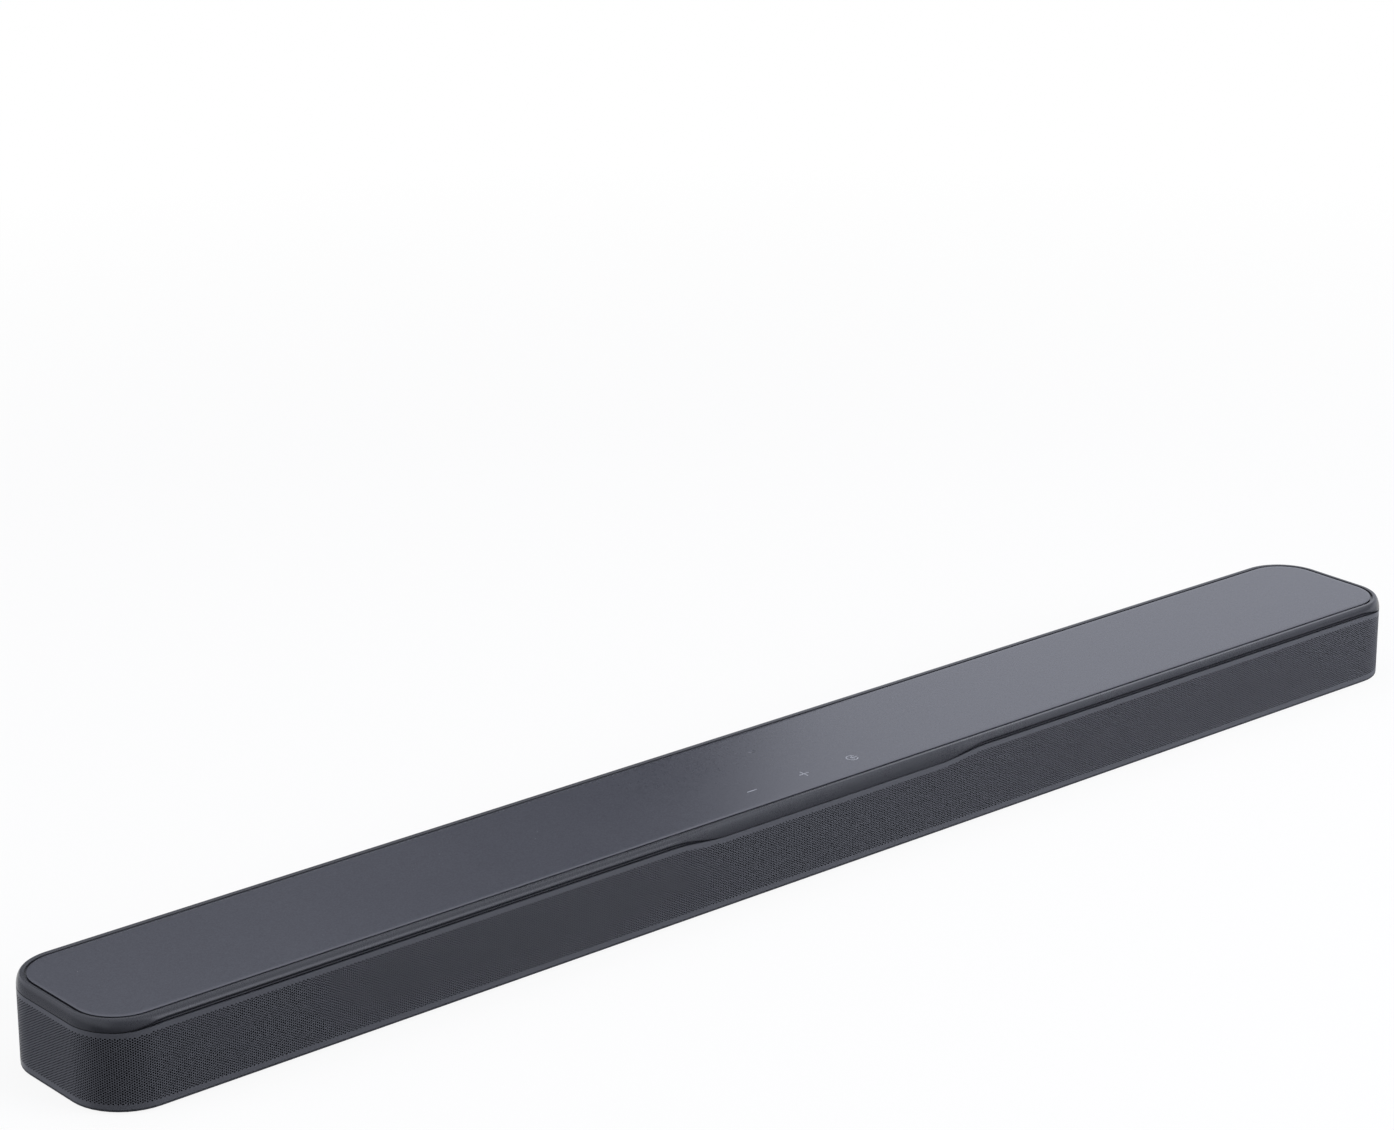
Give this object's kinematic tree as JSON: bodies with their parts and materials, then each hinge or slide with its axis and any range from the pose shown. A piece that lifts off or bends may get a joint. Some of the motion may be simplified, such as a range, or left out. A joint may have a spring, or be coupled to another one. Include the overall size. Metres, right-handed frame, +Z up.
{
  "type": "soundbar",
  "caption": "Long low soundbar with rounded ends, a flat satin top with touch marks, a lipped rim and a perforated metal grille wrapped round the front and ends.",
  "frame": {"origin": "on the surface that the feet stand on, under the middle of the bar's plan", "axes": "+X along the bar to a listener's right, -Y towards the listener, +Z up"},
  "size_m": [0.94, 0.1, 0.0495],
  "materials": {
    "top_panel": "satin, dark grey, very fine grain",
    "rim": "satin moulded, dark grey",
    "grille": "powder coat, dark grey, perforated",
    "cloth": "black acoustic cloth",
    "case": "fine moulded texture, near black",
    "feet": "matt black",
    "baffle": "moulded, black",
    "basket": "black coat",
    "motor": "zinc plated steel",
    "cone": "coated pulp, black",
    "coil": "aluminium former with wire",
    "surround": "matt black",
    "spider": "resin-stiffened weave",
    "tweeter_plate": "moulded, black",
    "dome": "coated silk",
    "board": "solder mask, green",
    "heat_sink": "extruded, bare",
    "antenna": "film-faced strip, black",
    "display": "dark lens",
    "receiver": "infrared-dark resin",
    "port_shell": "plated steel shell",
    "port_body": "moulded, black",
    "insert": "knurled, threaded",
    "screw": "black zinc"
  },
  "bodies": {
    "bar": {"antennas": "antenna", "board_screws": "screw", "bottom_case": "case", "case_screws": "screw", "centre_enclosure": "baffle", "display_module": "display", "driver_screws": "screw", "feet": "feet", "front_baffle": "baffle", "grille": "grille", "grille_cloth": "cloth", "hdmi_ports": "port_shell", "heat_sink": "heat_sink", "ir_receiver": "receiver", "left_enclosure": "baffle", "main_board": "board", "optical_port": "port_body", "power_board": "board", "power_inlet": "port_body", "rear_panel": "case", "right_enclosure": "baffle", "top_cover": "rim", "top_panel": "top_panel", "touch_board": "board", "tweeter_body_1": "tweeter_plate", "tweeter_body_2": "tweeter_plate", "tweeter_body_3": "tweeter_plate", "tweeter_motor_1": "motor", "tweeter_motor_2": "motor", "tweeter_motor_3": "motor", "usb_port": "port_shell", "wall_inserts": "insert", "woofer_frame_1": "basket", "woofer_frame_2": "basket", "woofer_frame_3": "basket", "woofer_frame_4": "basket", "woofer_motor_1": "motor", "woofer_motor_2": "motor", "woofer_motor_3": "motor", "woofer_motor_4": "motor", "woofer_spider_1": "spider", "woofer_spider_2": "spider", "woofer_spider_3": "spider", "woofer_spider_4": "spider", "woofer_surround_1": "surround", "woofer_surround_2": "surround", "woofer_surround_3": "surround", "woofer_surround_4": "surround"},
    "woofer_diaphragm_1": {"woofer_cone_1": "cone", "woofer_coil_1": "coil"},
    "woofer_diaphragm_2": {"woofer_cone_2": "cone", "woofer_coil_2": "coil"},
    "woofer_diaphragm_3": {"woofer_cone_3": "cone", "woofer_coil_3": "coil"},
    "woofer_diaphragm_4": {"woofer_cone_4": "cone", "woofer_coil_4": "coil"},
    "tweeter_diaphragm_1": {"tweeter_dome_1": "dome"},
    "tweeter_diaphragm_2": {"tweeter_dome_2": "dome"},
    "tweeter_diaphragm_3": {"tweeter_dome_3": "dome"}
  },
  "joints": [
    {"name": "woofer_stroke_1", "type": "slide", "parent": "bar", "child": "woofer_diaphragm_1", "axis": [0, -1, 0], "range_m": [-0.002, 0.002], "stiffness_N_per_m": 2000, "deforming": ["woofer_surround_1", "woofer_spider_1"]},
    {"name": "woofer_stroke_2", "type": "slide", "parent": "bar", "child": "woofer_diaphragm_2", "axis": [0, -1, 0], "range_m": [-0.002, 0.002], "stiffness_N_per_m": 2000, "deforming": ["woofer_surround_2", "woofer_spider_2"]},
    {"name": "woofer_stroke_3", "type": "slide", "parent": "bar", "child": "woofer_diaphragm_3", "axis": [0, -1, 0], "range_m": [-0.002, 0.002], "stiffness_N_per_m": 2000, "deforming": ["woofer_surround_3", "woofer_spider_3"]},
    {"name": "woofer_stroke_4", "type": "slide", "parent": "bar", "child": "woofer_diaphragm_4", "axis": [0, -1, 0], "range_m": [-0.002, 0.002], "stiffness_N_per_m": 2000, "deforming": ["woofer_surround_4", "woofer_spider_4"]},
    {"name": "tweeter_stroke_1", "type": "slide", "parent": "bar", "child": "tweeter_diaphragm_1", "axis": [0, -1, 0], "range_m": [-0.0003, 0.0003], "stiffness_N_per_m": 2000},
    {"name": "tweeter_stroke_2", "type": "slide", "parent": "bar", "child": "tweeter_diaphragm_2", "axis": [0, -1, 0], "range_m": [-0.0003, 0.0003], "stiffness_N_per_m": 2000},
    {"name": "tweeter_stroke_3", "type": "slide", "parent": "bar", "child": "tweeter_diaphragm_3", "axis": [0, -1, 0], "range_m": [-0.0003, 0.0003], "stiffness_N_per_m": 2000}
  ]
}
